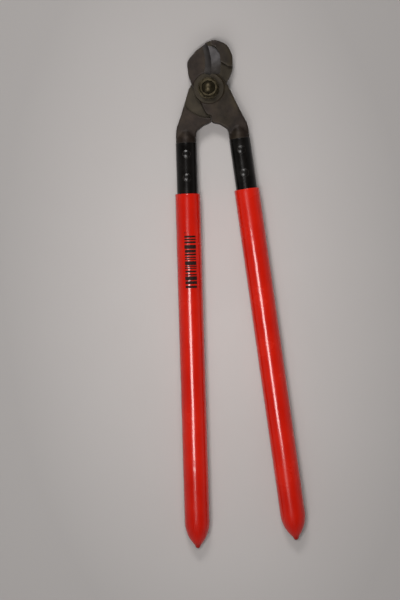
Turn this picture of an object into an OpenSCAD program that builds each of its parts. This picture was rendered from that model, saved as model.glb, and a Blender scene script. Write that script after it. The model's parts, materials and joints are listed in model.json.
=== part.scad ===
// Two-handed bypass cutters: two forged jaw levers on one pivot bolt, each riveted into a tubular handle with
// a dipped plastic grip. The tool lies flat: +Y points to the jaw tips and +Z away from the bench. The origin
// is on the pivot axis, in the plane of the bench. The front jaw (upper layer) carries the right handle, the
// back jaw (lower layer) carries the left handle and a replaceable shear blade. The jaws are drawn shut.

/* [Overall] */
// Length from the beak of the jaws to the nib of the grips
overall_l = 600; // [480:1:760]
// From the pivot axis to the beak of the jaws
head_reach = 56; // [46:0.5:68]
// From the pivot axis to the front edge of the grips, along Y
arm_reach = 122.7; // [110:0.1:150]
// Half the distance between the handle axes at the front edge of the grips
handle_half_gap = 35.3; // [32:0.1:44]
// Angle that each handle splays outwards when the jaws are shut
handle_splay = 3.2; // [1.5:0.1:5]

/* [Jaws] */
// Thickness of a jaw, without its boss
jaw_t = 8; // [6.5:0.1:10]
// Height of the boss round the pivot, above the jaw
boss_h = 1; // [0.5:0.1:2]
// Radius of that boss
boss_r = 16.5; // [14:0.1:20]
// Running gap between the two jaws
shear_gap = 0.1; // [0.05:0.01:0.2]
// Gap between the two closing stops
stop_gap = 0.4; // [0.3:0.05:1]
// Width of the ground bevel behind a cutting edge
bevel_w = 7; // [5:0.1:9]
// Flat land left at a cutting edge
edge_land = 1.1; // [0.5:0.1:2]
// Height of the spine of the back jaw above the shear plane
spine_h = 6; // [3:0.1:7]

/* [Shear blade] */
// Thickness of the replaceable shear blade
blade_t = 5; // [4:0.1:6]
// Clearance round the blade in its pocket
blade_clearance = 0.1; // [0.05:0.01:0.3]
// Radius of the two blade screws
screw_r = 2; // [1.5:0.1:2.4]
// Radius of the countersunk head of a blade screw
screw_head_r = 3.6; // [3:0.1:4.2]
// Depth of that countersunk head
screw_head_h = 1.8; // [1.5:0.1:2.2]

/* [Pivot] */
// Radius of the pivot bolt's shank
bolt_r = 7; // [5.5:0.1:8.5]
// Wall of the bush in the front jaw
bush_wall = 2; // [1:0.1:2.5]
// Running clearance of the bolt in the bush, on radius
running_clearance = 0.03; // [0.02:0.01:0.08]
// Clearance of a pressed or keyed joint, on radius
press_clearance = 0.02; // [0.01:0.01:0.05]
// Radius of the bolt's head
bolt_head_r = 13; // [11:0.1:15]
// Chamfer round the bolt's head and end
bolt_chamfer = 1; // [0.5:0.1:1.5]
// Thickness of the washer under the nut
washer_t = 1.5; // [1:0.1:2.5]
// Radius of that washer
washer_r = 12.8; // [11.5:0.1:15]
// Width of the nut across its flats
nut_af = 21; // [19:0.5:24]
// Height of the nut
nut_h = 9; // [6:0.1:12]
// Height of the domed end of the bolt above the nut
dome_h = 2.4; // [1:0.1:3.5]

/* [Handles] */
// Outer radius of a handle tube
tube_r = 12.5; // [11.5:0.1:14]
// Wall of a handle tube
tube_wall = 2.5; // [1.5:0.1:3]
// From the root of a jaw to the mouth of its tube, along Y
shoulder_l = 12; // [10:0.1:18]
// How far the forged tang reaches into the tube
tang_l = 70; // [50:1:90]
// Radius of a cross rivet
rivet_r = 3; // [2:0.1:4]
// How far the rivet heads stand out of the tube
rivet_head_h = 1.2; // [0.6:0.1:1.6]
// Distance from the tube's mouth to the first rivet
rivet_inset = 14; // [9:0.5:20]
// Distance between the two rivets of a handle
rivet_pitch = 28; // [15:0.5:35]
// How far the spigot of an end plug reaches into the tube
plug_l = 18; // [10:1:30]

/* [Grips] */
// Wall of the dipped plastic grip
grip_wall = 2.45; // [1:0.05:3]
// Clearance between a grip and what it covers
grip_clearance = 0.05; // [0.02:0.01:0.1]
// Length of the bullet end, without its nib
nose_l = 29; // [24:0.5:40]
// Radius of the drip nib at the end
nib_r = 2.6; // [2:0.1:3.5]
// Length of the nib
nib_l = 3; // [3:0.1:6]

/* [Hidden] */
$fn = 96;
eps = 0.01;
ARC_STEPS = 10;
grip_r = tube_r + grip_clearance + grip_wall;
shear_z = grip_r;                       // the shear plane, level with the handle axes
head_scale = head_reach / 56;           // the jaw outlines are drawn for a reach of 56
recess_r = 35.3 * head_scale;           // the jaws' full-thickness roots stay outside this circle
root_y = 50 * head_scale;               // where a jaw's root runs into its round shoulder
bush_r = bolt_r + running_clearance + bush_wall;
neck_flat = bolt_r;                     // the bolt's neck is keyed by two flats in the back jaw
handle_l = (overall_l - head_reach - arm_reach) / cos(handle_splay);
body_l = handle_l - nose_l - nib_l;     // the cylindrical length of a grip
tube_reach = root_y + shoulder_l;        // from the pivot axis to the mouth of a tube, along Y
tube_start = -(arm_reach - tube_reach) / cos(handle_splay);
tube_end = body_l - 2;
shoulder_start = tube_start - shoulder_l / 2 / cos(handle_splay);
bore_r = tube_r - tube_wall;
shoulder_r = tube_r - 0.5;
cone_l = 10;                            // the cone that leads a jaw's flat root into its round shoulder
throat_y = 16.5 * head_scale;           // lower end of the cutting edges
grip_rim = 0.8;
screw_clearance = 0.1;
rivets_at = [tube_start + rivet_inset, tube_start + rivet_inset + rivet_pitch];
back_face = shear_z - jaw_t - boss_h;   // lower face of the back jaw's boss
front_face = shear_z + jaw_t + boss_h;  // upper face of the front jaw's boss
washer_top = front_face + shear_gap / 2 + washer_t;
nut_top = washer_top + nut_h;
edge_chord = 17.5 * head_scale;         // half the length of a cutting edge
edge_mid_y = 34.5 * head_scale;
FRONT_EDGE_X = 3.2 * head_scale;        // the front jaw's edge crosses the centre line when shut
BACK_EDGE_X = -1 * head_scale;
EDGE_BULGE = 2.6 * head_scale;
edge_r = (edge_chord * edge_chord + EDGE_BULGE * EDGE_BULGE) / (2 * EDGE_BULGE);
SCREW_SPOTS = [[12.6, 23.5], [12.4, 40.5]];

// ---- outlines ----

// One corner of an outline, rounded to radius p[2] between its neighbours a and b.
function corner(a, p, b) =
    let (u = (a - [p[0], p[1]]) / norm(a - [p[0], p[1]]),
         v = (b - [p[0], p[1]]) / norm(b - [p[0], p[1]]),
         half = acos(max(-1, min(1, u * v))) / 2,
         room = 0.49 * min(norm(a - [p[0], p[1]]), norm(b - [p[0], p[1]])),
         r = min(p[2], room * tan(half)),
         centre = [p[0], p[1]] + (u + v) / norm(u + v) * r / sin(half),
         from = [p[0], p[1]] + u * r / tan(half) - centre,
         turn = 180 - 2 * half,
         side = (u[0] * v[1] - u[1] * v[0]) > 0 ? -1 : 1)
    p[2] < eps || half > 89 ? [[p[0], p[1]]] :
    [for (i = [0:ARC_STEPS])
        let (t = side * turn * i / ARC_STEPS)
        centre + [from[0] * cos(t) - from[1] * sin(t), from[0] * sin(t) + from[1] * cos(t)]];

// A closed outline from corners [x, y, radius].
function rounded(c) =
    let (n = len(c))
    [for (i = [0:n - 1])
        let (a = c[(i + n - 1) % n], b = c[(i + 1) % n])
        each corner([a[0], a[1]], c[i], [b[0], b[1]])];

function scaled(c) = [for (p = c) p * head_scale];

// Centre line of the right handle at height y.
function handle_x(y) = handle_half_gap + (-y - arm_reach) * tan(handle_splay);

// The root of a jaw: from the stop face round the crotch, down to the shoulder, and up its outer side.
function root_outline() =
    let (x = handle_x(-root_y), s = head_scale)
    [
        [stop_gap / 2, -32 * s, 0],
        [stop_gap / 2, -40 * s, 2.5],
        [10 * s, -43 * s, 9 * s],
        [x - shoulder_r, -root_y, 6],
        [x - shoulder_r + 0.4, -root_y - shoulder_l / 2, 0],
        [x + shoulder_r + 0.3, -root_y - shoulder_l / 2, 0],
        [x + shoulder_r - 1, -root_y + 5, 25],
        [35.2 * s, -29 * s, 30],
        [29.6 * s, -14.5 * s, 20]
    ];

// The front jaw, before its cutting edge is trimmed on the right; its root goes down to the right.
function front_outline() = concat(
    scaled([
        [8, 57.9, 0], [-10.5, 46.2, 14], [-22.9, 34, 12], [-22.3, 17, 25], [-17.4, 0, 30],
        [-11.3, -15, 30], [-5.2, -30, 5]
    ]),
    root_outline(),
    scaled([[23.5, 1.5, 10], [14, 14.8, 7], [8, 16.5, 0]])
);

// The back jaw: a hook on the right, and a root that goes down to the left.
function back_outline() = concat(
    scaled([
        [0.2, 55.3, 1], [12, 58, 18], [26.8, 50.6, 14], [31.8, 37, 16], [30.2, 19.5, 25], [18.6, -1, 25],
        [11.3, -15, 30], [5.2, -30, 5]
    ]),
    [for (p = root_outline()) [-p[0], p[1], p[2]]],
    scaled([[-23.5, 1.5, 10], [-14, 14.8, 7], [3, 17.2, 3], [3.6, 30, 20], [3, 46, 8]])
);

// The shear blade, whose cutting edge is a shallow hollow on the left.
function blade_outline() = scaled([
    [-1, 52.4, 0], [-1.3, 16.8, 0], [5.5, 15.6, 2], [15.6, 17.2, 3], [17, 28, 20], [17, 41, 10],
    [11.5, 49.5, 8]
]);

// The spine is what stands above the shear plane along the hook's back.
function spine_outline() = scaled([
    [7.6, 60, 0], [40, 60, 0], [40, 24, 0], [18.1, 24, 0], [17.1, 30, 10], [17.1, 41.5, 10], [11.8, 50, 7],
    [7.6, 51.6, 2]
]);

// ---- helpers ----

// Puts its children at the front edge of a grip, with +Z along the handle; side is 1 for the right.
module on_handle(side) {
    translate([side * handle_half_gap, -arm_reach, shear_z]) rotate([90, 0, side * handle_splay]) children();
}

module ring(outer, inner, h) {
    difference() {
        cylinder(r = outer, h = h);
        translate([0, 0, -1]) cylinder(r = inner, h = h + 2);
    }
}

// A cylinder with both its rims chamfered by c.
module chamfered_disc(r, h, c) {
    rotate_extrude() polygon([[0, 0], [r - c, 0], [r, c], [r, h - c], [r - c, h], [0, h]]);
}

// The full-thickness root of the right-hand lever, outside the recess that the other jaw turns in.
module root_block() {
    bottom = shear_z - jaw_t;
    translate([0, 0, bottom]) linear_extrude(2 * jaw_t) difference() {
        polygon(rounded(concat(root_outline(), scaled([[20, -10, 0], [stop_gap / 2, -10, 0]]))));
        circle(r = recess_r);
    }
}

// The round shoulder that the tube butts on, and the tang that it is riveted to.
module tang() {
    butt = tube_start - press_clearance;
    on_handle(1) difference() {
        union() {
            translate([0, 0, shoulder_start - cone_l])
                cylinder(r1 = jaw_t + 0.5, r2 = shoulder_r, h = cone_l);
            translate([0, 0, shoulder_start]) cylinder(r = shoulder_r, h = butt - shoulder_start);
            translate([0, 0, shoulder_start])
                cylinder(r = bore_r - press_clearance, h = tang_l + butt - shoulder_start);
        }
        rivet_holes();
    }
}

// The holes of both rivets, across the handle.
module rivet_holes() {
    for (z = rivets_at) translate([0, 0, z]) rotate([90, 0, 0])
        cylinder(r = rivet_r + press_clearance, h = 4 * tube_r, center = true);
}

// Where the centre of a cutting edge's circle lies, for an edge whose ends are at x.
function centre_of_edge(x) = x + EDGE_BULGE - edge_r;

// Cuts the bevel of a cutting edge: side is 1 to grind inside the edge's circle, -1 to grind outside it.
module edge_bevel(x, side, depth) {
    half_angle = asin(edge_chord / edge_r) + 1.5;
    sweep = 2 * half_angle + 5;         // it runs out past the tip
    inner = edge_r - side * bevel_w;
    outer = edge_r + side;
    outer_z = edge_land - (depth - edge_land) / bevel_w;
    translate([centre_of_edge(x), edge_mid_y, 0]) rotate([0, 0, -half_angle]) rotate_extrude(angle = sweep)
        polygon([[outer, outer_z], [inner, depth], [inner, depth + 1], [outer, depth + 1]]);
}

// ---- sub-parts ----

module front_jaw() {
    color([0.09, 0.08, 0.075]) difference() {
        union() {
            difference() {
                front_plate();
                translate([0, 0, shear_z]) edge_bevel(FRONT_EDGE_X, 1, jaw_t);
            }
            translate([0, 0, shear_z + shear_gap / 2])
                cylinder(r = boss_r, h = jaw_t + boss_h - shear_gap / 2);
            root_block();
            tang();
        }
        translate([0, 0, -1]) cylinder(r = bush_r + press_clearance, h = front_face + 2);
    }
}

// The front jaw's plate: above the throat it is trimmed by the circle of its cutting edge.
module front_plate() {
    translate([0, 0, shear_z + shear_gap / 2]) linear_extrude(jaw_t - shear_gap / 2) intersection() {
        polygon(rounded(front_outline()));
        union() {
            translate([centre_of_edge(FRONT_EDGE_X), edge_mid_y]) circle(r = edge_r, $fn = 256);
            translate([-2 * arm_reach, throat_y - 2 * arm_reach]) square([4 * arm_reach, 2 * arm_reach]);
        }
    }
}

module back_jaw() {
    bottom = shear_z - jaw_t;
    plate_t = jaw_t - shear_gap / 2;
    color([0.09, 0.08, 0.075]) difference() {
        union() {
            translate([0, 0, bottom]) linear_extrude(plate_t) polygon(rounded(back_outline()));
            translate([0, 0, back_face]) cylinder(r = boss_r, h = plate_t + boss_h);
            spine();
            mirror([1, 0, 0]) root_block();
            mirror([1, 0, 0]) tang();
        }
        keyed_neck(press_clearance, back_face - 1, shear_z + 1);
        translate([0, 0, shear_z - blade_t]) linear_extrude(blade_t + 1) offset(delta = blade_clearance)
            polygon(rounded(blade_outline()));
        for (p = SCREW_SPOTS) translate([p[0] * head_scale, p[1] * head_scale, bottom]) {
            translate([0, 0, -1]) cylinder(r = screw_r + screw_clearance, h = jaw_t);
            translate([0, 0, -eps])
                cylinder(r1 = screw_head_r, r2 = screw_r + screw_clearance, h = screw_head_h + eps);
        }
    }
}

// The raised back of the hook, clear of the circle that the front jaw's root turns in.
module spine() {
    translate([0, 0, shear_z - jaw_t]) linear_extrude(jaw_t + spine_h) intersection() {
        polygon(rounded(back_outline()));
        difference() {
            polygon(rounded(spine_outline()));
            circle(r = recess_r - 2 * head_scale);
        }
    }
}

// The keyed neck of the bolt, or the hole for it: a round bar with two flats.
module keyed_neck(clearance, from_z, to_z) {
    translate([0, 0, from_z]) linear_extrude(to_z - from_z) intersection() {
        circle(r = bush_r + clearance);
        square([3 * bush_r, 2 * (neck_flat + clearance)], center = true);
    }
}

module shear_blade() {
    floor_z = shear_z - blade_t;
    color([0.62, 0.63, 0.65]) difference() {
        translate([0, 0, floor_z]) linear_extrude(blade_t - shear_gap / 2) difference() {
            polygon(rounded(blade_outline()));
            translate([centre_of_edge(BACK_EDGE_X), edge_mid_y]) circle(r = edge_r, $fn = 256);
        }
        translate([0, 0, shear_z]) mirror([0, 0, 1]) edge_bevel(BACK_EDGE_X, -1, blade_t);
        for (p = SCREW_SPOTS) translate([p[0] * head_scale, p[1] * head_scale, floor_z - 1])
            cylinder(r = screw_r + press_clearance, h = blade_t - 0.2);
    }
}

// Countersunk screws from the back, with a hexagon socket; their heads lie just under the jaw's face.
module blade_screws() {
    sunk = 0.1;
    socket_r = 0.65 * screw_r;
    bottom = shear_z - jaw_t + sunk;
    color([0.3, 0.3, 0.31]) for (p = SCREW_SPOTS) translate([p[0] * head_scale, p[1] * head_scale, bottom])
        difference() {
            union() {
                cylinder(r1 = screw_head_r - sunk, r2 = screw_r, h = screw_head_h - sunk);
                cylinder(r = screw_r, h = jaw_t - 1.5);
            }
            translate([0, 0, -1]) cylinder(r = socket_r, h = 1 + 0.6 * screw_head_h, $fn = 6);
        }
}

module pivot_bolt() {
    dome_r = (bolt_r * bolt_r + dome_h * dome_h) / (2 * dome_h);
    color([0.42, 0.40, 0.36]) {
        rotate_extrude() polygon([
            [0, 0], [bolt_head_r - bolt_chamfer, 0], [bolt_head_r, bolt_chamfer],
            [bolt_head_r, back_face], [0, back_face]
        ]);
        keyed_neck(0, back_face - eps, shear_z - shear_gap / 2);
        translate([0, 0, back_face - eps]) cylinder(r = bolt_r, h = nut_top - back_face + eps);
        translate([0, 0, nut_top]) rotate_extrude() intersection() {
            translate([0, dome_h - dome_r]) circle(r = dome_r, $fn = 256);
            square([bolt_r, dome_h]);
        }
    }
}

module pivot_bush() {
    color([0.72, 0.52, 0.25]) translate([0, 0, shear_z + shear_gap / 2])
        ring(bush_r, bolt_r + running_clearance, front_face - shear_z - shear_gap / 2);
}

module pivot_washer() {
    color([0.45, 0.42, 0.33]) translate([0, 0, washer_top - washer_t]) ring(washer_r, bolt_r + 0.3, washer_t);
}

module pivot_nut() {
    corner_r = nut_af / 2 / cos(30);
    corner_chamfer = 0.9;
    color([0.45, 0.42, 0.33]) translate([0, 0, washer_top]) difference() {
        intersection() {
            cylinder(r = corner_r, h = nut_h, $fn = 6);
            chamfered_disc(corner_r - eps, nut_h, corner_chamfer);
        }
        translate([0, 0, -1]) cylinder(r = bolt_r + press_clearance, h = nut_h + 2);
    }
}

module tube(side) {
    color([0.07, 0.07, 0.07]) on_handle(side) difference() {
        translate([0, 0, tube_start]) ring(tube_r, bore_r, tube_end - tube_start);
        rivet_holes();
    }
}

// The rivets of one handle; their heads are saddled to the tube.
module rivets(side) {
    head_r = 1.6 * rivet_r;
    saddle_r = tube_r + press_clearance;
    color([0.12, 0.12, 0.12]) on_handle(side) for (z = rivets_at) translate([0, 0, z]) rotate([90, 0, 0]) {
        cylinder(r = rivet_r, h = 2 * tube_r, center = true);
        for (turn = [0, 180]) rotate([turn, 0, 0]) difference() {
            rotate_extrude() polygon([
                [0, tube_r - 1.5], [head_r, tube_r - 1.5], [head_r, tube_r + 0.4 * rivet_head_h],
                [head_r - 1.2, tube_r + rivet_head_h], [0, tube_r + rivet_head_h]
            ]);
            rotate([90, 0, 0]) cylinder(r = saddle_r, h = 4 * head_r, center = true);
        }
    }
}

// A solid bullet: an arc that starts level with radius r and falls to radius tip over length l.
module bullet(r, tip, l) {
    arc_r = (l * l + (r - tip) * (r - tip)) / (2 * (r - tip));
    rotate_extrude() intersection() {
        translate([r - arc_r, 0]) circle(r = arc_r, $fn = 256);
        square([r, l]);
    }
}

module end_plug(side) {
    color([0.12, 0.12, 0.12]) on_handle(side) {
        translate([0, 0, tube_end - plug_l]) cylinder(r = bore_r - press_clearance, h = plug_l + 1);
        translate([0, 0, tube_end]) cylinder(r = tube_r, h = body_l - tube_end + eps);
        translate([0, 0, body_l]) bullet(tube_r, nib_r, nose_l - grip_wall);
    }
}

module grip(side) {
    nib_at = body_l + nose_l + nib_l - nib_r;
    color([0.72, 0.08, 0.03]) on_handle(side) difference() {
        union() {
            rotate_extrude() polygon([
                [0, 0], [grip_r - grip_rim, 0], [grip_r, grip_rim], [grip_r, body_l], [0, body_l]
            ]);
            translate([0, 0, body_l - eps]) bullet(grip_r, nib_r, nose_l);
            translate([0, 0, body_l]) cylinder(r = nib_r, h = nib_at - body_l);
            translate([0, 0, nib_at]) sphere(r = nib_r);
        }
        translate([0, 0, -1]) cylinder(r = tube_r + grip_clearance, h = body_l + 1 + eps);
        translate([0, 0, body_l]) bullet(tube_r + grip_clearance, nib_r, nose_l - grip_wall + grip_clearance);
    }
}

front_jaw();
back_jaw();
shear_blade();
blade_screws();
pivot_bolt();
pivot_bush();
pivot_washer();
pivot_nut();
tube(1);  // right_tube
tube(-1);  // left_tube
rivets(1);  // right_rivets
rivets(-1);  // left_rivets
end_plug(1);  // right_end_plug
end_plug(-1);  // left_end_plug
grip(1);  // right_grip
grip(-1);  // left_grip
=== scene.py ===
"""Two-handed bypass cutters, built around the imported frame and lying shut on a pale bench.

The shapes are worked out in millimetres and turned into metres once, when a piece is finished. A lever has a
frame of its own: its jaw plate stands on z = 0, the shear plane, and its handle is on the +X side.
"""

import json
import math
import random

import bmesh
import bpy
from mathutils import Matrix, Vector, noise


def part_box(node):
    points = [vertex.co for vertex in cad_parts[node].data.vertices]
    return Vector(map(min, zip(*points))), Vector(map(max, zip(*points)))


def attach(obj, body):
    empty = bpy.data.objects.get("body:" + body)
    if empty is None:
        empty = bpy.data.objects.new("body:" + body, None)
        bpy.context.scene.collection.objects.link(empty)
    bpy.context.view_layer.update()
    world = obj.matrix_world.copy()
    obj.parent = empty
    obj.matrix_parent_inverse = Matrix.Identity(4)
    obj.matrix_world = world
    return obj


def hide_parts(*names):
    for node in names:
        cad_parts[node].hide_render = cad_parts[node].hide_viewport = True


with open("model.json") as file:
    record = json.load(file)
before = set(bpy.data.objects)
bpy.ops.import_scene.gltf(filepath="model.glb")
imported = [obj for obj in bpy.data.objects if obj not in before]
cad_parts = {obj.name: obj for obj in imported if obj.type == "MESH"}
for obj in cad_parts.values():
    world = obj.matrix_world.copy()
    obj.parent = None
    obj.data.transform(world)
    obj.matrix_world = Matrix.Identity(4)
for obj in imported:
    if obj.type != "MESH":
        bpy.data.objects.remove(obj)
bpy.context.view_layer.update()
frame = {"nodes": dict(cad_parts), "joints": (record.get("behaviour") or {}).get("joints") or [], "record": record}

MM = 0.001
MOUNTS = {m["name"]: m for m in frame["record"]["mounts"]}
SHEAR_Z = frame["joints"][0]["pos_m"][2] / MM


def z_range(node):
    """The lowest and highest z of a CAD node, in mm."""
    low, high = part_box(node)
    return low[2] / MM, high[2] / MM


# ---- sizes, in mm ----
JAW_T = 8.0
BOSS_H = 1.0
BOSS_R = 16.5
SHEAR_GAP = 0.1
RECESS_R = 35.3  # the other lever's plate turns inside this circle
STOP_GAP = 0.4

# A cutting edge is an arc: the height of its middle, half its chord, and its bulge.
EDGE_MID_Y = 34.5
EDGE_HALF_CHORD = 17.5
EDGE_BULGE = 2.6
EDGE_R = (EDGE_HALF_CHORD ** 2 + EDGE_BULGE ** 2) / (2 * EDGE_BULGE)
EDGE_LAND = 1.1  # height of the upright strip below the bevel
BEVEL_W = 7.0
FRONT_EDGE_X = 3.2
BACK_EDGE_X = -1.0
THROAT_Y = 16.5

# The hooked jaw: the height of its raised part past the shear plane, and the limits of that part.
SPINE_H = 6.0
HEEL_Y = 24.0
HOOK_X = 17.1
BEAK_X = 7.6

BLADE_T = 5.0
BOLT_R = 7.0
BUSH_R = 9.03
SCREW_R = 2.0
SCREW_HEAD_R = 3.6
SCREW_SOCKET_R = 1.3
SCREW_SPOTS = ((12.6, 23.5), (12.4, 40.5))
BOLT_HEAD_R = 13.0
WASHER_BORE_R = 7.3
WASHER_R = 12.8
NUT_ACROSS = 21.0

TUBE_R = 12.5
BORE_R = 10.0
TUBE_MOUTH_Y = -62.0
RIVET_R = 3.0
RIVET_HEAD_H = 1.2
RIVET_INSET = 14.0
RIVET_PITCH = 28.0
TANG_L = 70.0
SHOULDER_R = 12.0
GRIP_RIM = 0.8  # the part of a grip in front of its mount
NIB_R = 2.6
NIB_L = 3.0
NOSE_L = 29.0

# Gaps: between pressed pieces, bolt and bush, tube and grip, blade and pocket.
PRESS_GAP = 0.02
BUSH_GAP = 0.03
SLEEVE_GAP = 0.05
POCKET_GAP = 0.1

# Fineness of the meshes, and the line that the dies leave.
FORGE_VOXEL = 0.7
FLASH_RISE = 0.28
FLASH_HALF = 0.55
RECESS_STEPS = 160
HANDLE_STEPS = 64
HOLE_STEPS = 48

GRIP_R = MOUNTS["right_grip"]["dims"]["r_mm"]
GRIP_L = MOUNTS["right_grip"]["dims"]["length_mm"] + GRIP_RIM
HANDLE_AXIS = Vector(MOUNTS["right_grip"]["axis"])
SPLAY = math.asin(HANDLE_AXIS.x)
GRIP_START = Vector(MOUNTS["right_grip"]["pos_m"]) / MM - HANDLE_AXIS * (GRIP_L + GRIP_RIM) / 2
TUBE_START = (GRIP_START.y - TUBE_MOUTH_Y) / math.cos(SPLAY)


# ---- outlines ----
def corner(before, point, after, steps=8):
    """One corner of an outline, rounded to the radius in point[2]."""
    at = Vector(point[:2])
    u = (Vector(before[:2]) - at).normalized()
    v = (Vector(after[:2]) - at).normalized()
    half = math.acos(max(-1.0, min(1.0, u.dot(v)))) / 2
    if point[2] < 0.01 or half > math.radians(89):
        return [at]
    room = 0.49 * min((Vector(before[:2]) - at).length, (Vector(after[:2]) - at).length)
    radius = min(point[2], room * math.tan(half))
    centre = at + (u + v).normalized() * radius / math.sin(half)
    start = at + u * radius / math.tan(half) - centre
    turn = math.pi - 2 * half
    if u.x * v.y - u.y * v.x > 0:
        turn = -turn
    return [centre + Matrix.Rotation(turn * i / steps, 2) @ start for i in range(steps + 1)]


def rounded(corners):
    """A closed outline from corners of (x, y, radius)."""
    points = []
    for i, point in enumerate(corners):
        points += corner(corners[i - 1], point, corners[(i + 1) % len(corners)])
    return points


def arc(centre, radius, start, end, steps=24):
    """Points on a circle from one angle to another, in degrees."""
    angles = [math.radians(start + (end - start) * i / steps) for i in range(steps + 1)]
    return [Vector((centre[0] + radius * math.cos(a), centre[1] + radius * math.sin(a))) for a in angles]


def flipped(points):
    """An outline turned over about the Y axis."""
    return [Vector((-p[0], p[1])) for p in points]


def orientation(points):
    """1 for an outline that runs counter-clockwise, -1 for one that runs clockwise."""
    area = sum(a.x * b.y - b.x * a.y for a, b in zip(points, points[1:] + points[:1]))
    return 1 if area > 0 else -1


def offset_outline(points, distance):
    """An outline moved outwards by a small distance."""
    moved = []
    count = len(points)
    for i, point in enumerate(points):
        before = (point - points[i - 1]).normalized()
        after = (points[(i + 1) % count] - point).normalized()
        middle = (before + after).normalized()
        moved.append(point + Vector((middle.y, -middle.x)) * distance * orientation(points))
    return moved


def handle_x(y):
    """Where the right handle's centre line lies at height y."""
    return GRIP_START.x + (GRIP_START.y - y) * math.tan(SPLAY)


def root_corners():
    """The root of a lever: stop face, crotch, shoulder and outer side."""
    x = handle_x(-50.0)
    return [
        (STOP_GAP / 2, -32, 0),
        (STOP_GAP / 2, -40, 2.5),
        (10, -43, 9),
        (x - SHOULDER_R, -50, 6),
        (x - SHOULDER_R + 0.4, -56, 0),
        (x + SHOULDER_R + 0.3, -56, 0),
        (x + SHOULDER_R - 1, -45, 25),
        (35.2, -29, 30),
        (29.6, -14.5, 20),
    ]


def front_corners():
    """The front jaw's plate, before its edge is ground."""
    jaw = [
        (8, 57.9, 0), (-10.5, 46.2, 14), (-22.9, 34, 12), (-22.3, 17, 25), (-17.4, 0, 30), (-11.3, -15, 30),
        (-5.2, -30, 5),
    ]
    return jaw + root_corners() + [(23.5, 1.5, 10), (14, 14.8, 7), (8, 16.5, 0)]


def back_corners():
    """The back jaw's plate in the lever's own frame, so the hook is on the left."""
    hook = [
        (-0.2, 55.3, 1), (-12, 58, 18), (-26.8, 50.6, 14), (-31.8, 37, 16), (-30.2, 19.5, 25),
        (-18.6, -1, 25), (-11.3, -15, 30), (-5.2, -30, 5),
    ]
    throat = [(23.5, 1.5, 10), (14, 14.8, 7), (-3, 17.2, 3), (-3.6, 30, 20), (-3, 46, 8)]
    return hook + root_corners() + throat


def blade_outline():
    """The shear blade, without its hollow edge, as seen from above."""
    return rounded([
        (-1, 52.4, 0), (-1.3, 16.8, 0), (5.5, 15.6, 2), (15.6, 17.2, 3), (17, 28, 20), (17, 41, 10),
        (11.5, 49.5, 8),
    ])


# ---- mesh helpers ----
def prism(points, low, high):
    """A closed block on an outline."""
    bm = bmesh.new()
    under = [bm.verts.new((p[0], p[1], low)) for p in points]
    over = [bm.verts.new((p[0], p[1], high)) for p in points]
    count = len(points)
    bm.faces.new(under[::-1])
    bm.faces.new(over)
    for i in range(count):
        j = (i + 1) % count
        bm.faces.new((under[i], under[j], over[j], over[i]))
    bmesh.ops.remove_doubles(bm, verts=bm.verts, dist=0.002)
    return bm


def lathe(profile, segments=96, matrix=None):
    """A solid turned about Z from (radius, height) points; off the axis, the profile closes on itself."""
    bm = bmesh.new()
    rings = []
    for radius, height in profile:
        if radius < 1e-6:
            rings.append([bm.verts.new((0, 0, height))])
            continue
        turn = [2 * math.pi * i / segments for i in range(segments)]
        rings.append([bm.verts.new((radius * math.cos(a), radius * math.sin(a), height)) for a in turn])
    pairs = list(zip(rings, rings[1:]))
    if len(rings[0]) > 1 and len(rings[-1]) > 1:
        pairs.append((rings[-1], rings[0]))
    for first, second in pairs:
        for i in range(segments):
            j = (i + 1) % segments
            if len(first) == 1:
                bm.faces.new((first[0], second[i], second[j]))
            elif len(second) == 1:
                bm.faces.new((first[i], second[0], first[j]))
            else:
                bm.faces.new((first[i], second[i], second[j], first[j]))
    if matrix is not None:
        bm.transform(matrix)
    return bm


def cylinder(radius, low, high, segments=96, matrix=None):
    """A plain round bar along Z."""
    return lathe([(0, low), (radius, low), (radius, high), (0, high)], segments, matrix)


def dome(radius, rim, top, steps):
    """Turning points of a ball-shaped end, from its rim to its top on the axis."""
    rise = top - rim
    ball = (radius ** 2 + rise ** 2) / (2 * rise)
    half = math.degrees(math.asin(radius / ball))
    return [(p.x, p.y) for p in arc((0, top - ball), ball, 90 - half, 90, steps)]


def turning_profile(corners):
    """Points for lathe from corners of (radius, height, rounding)."""
    points = []
    for i, point in enumerate(corners):
        points += corner(corners[i - 1], point, corners[(i + 1) % len(corners)], 5)
    return [(p[0], p[1]) for p in points]


def solid(bm, name="work"):
    """A mesh object, still in mm, from a bmesh."""
    bmesh.ops.recalc_face_normals(bm, faces=bm.faces)
    mesh = bpy.data.meshes.new(name)
    bm.to_mesh(mesh)
    bm.free()
    obj = bpy.data.objects.new(name, mesh)
    bpy.context.scene.collection.objects.link(obj)
    return obj


def taken(obj):
    """The mesh of a working object as a bmesh; the object is dropped."""
    bm = bmesh.new()
    bm.from_mesh(obj.data)
    bpy.data.meshes.remove(obj.data)
    return bm


def joined(*meshes):
    """Several bmeshes as one."""
    whole = bmesh.new()
    for bm in meshes:
        part = bpy.data.meshes.new("part")
        bm.to_mesh(part)
        bm.free()
        whole.from_mesh(part)
        bpy.data.meshes.remove(part)
    return whole


def settle(obj):
    """Applies an object's modifiers to its mesh."""
    graph = bpy.context.evaluated_depsgraph_get()
    mesh = bpy.data.meshes.new_from_object(obj.evaluated_get(graph))
    old = obj.data
    obj.modifiers.clear()
    obj.data = mesh
    bpy.data.meshes.remove(old)


def combine(obj, bm, operation):
    """Cuts, joins or intersects obj with the mesh bm."""
    tool = solid(bm, "tool")
    step = obj.modifiers.new("combine", "BOOLEAN")
    step.operation = operation
    step.solver = "MANIFOLD"
    step.object = tool
    settle(obj)
    bpy.data.meshes.remove(tool.data)


def cut(obj, bm):
    """Takes the mesh bm away from obj."""
    combine(obj, bm, "DIFFERENCE")


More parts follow.
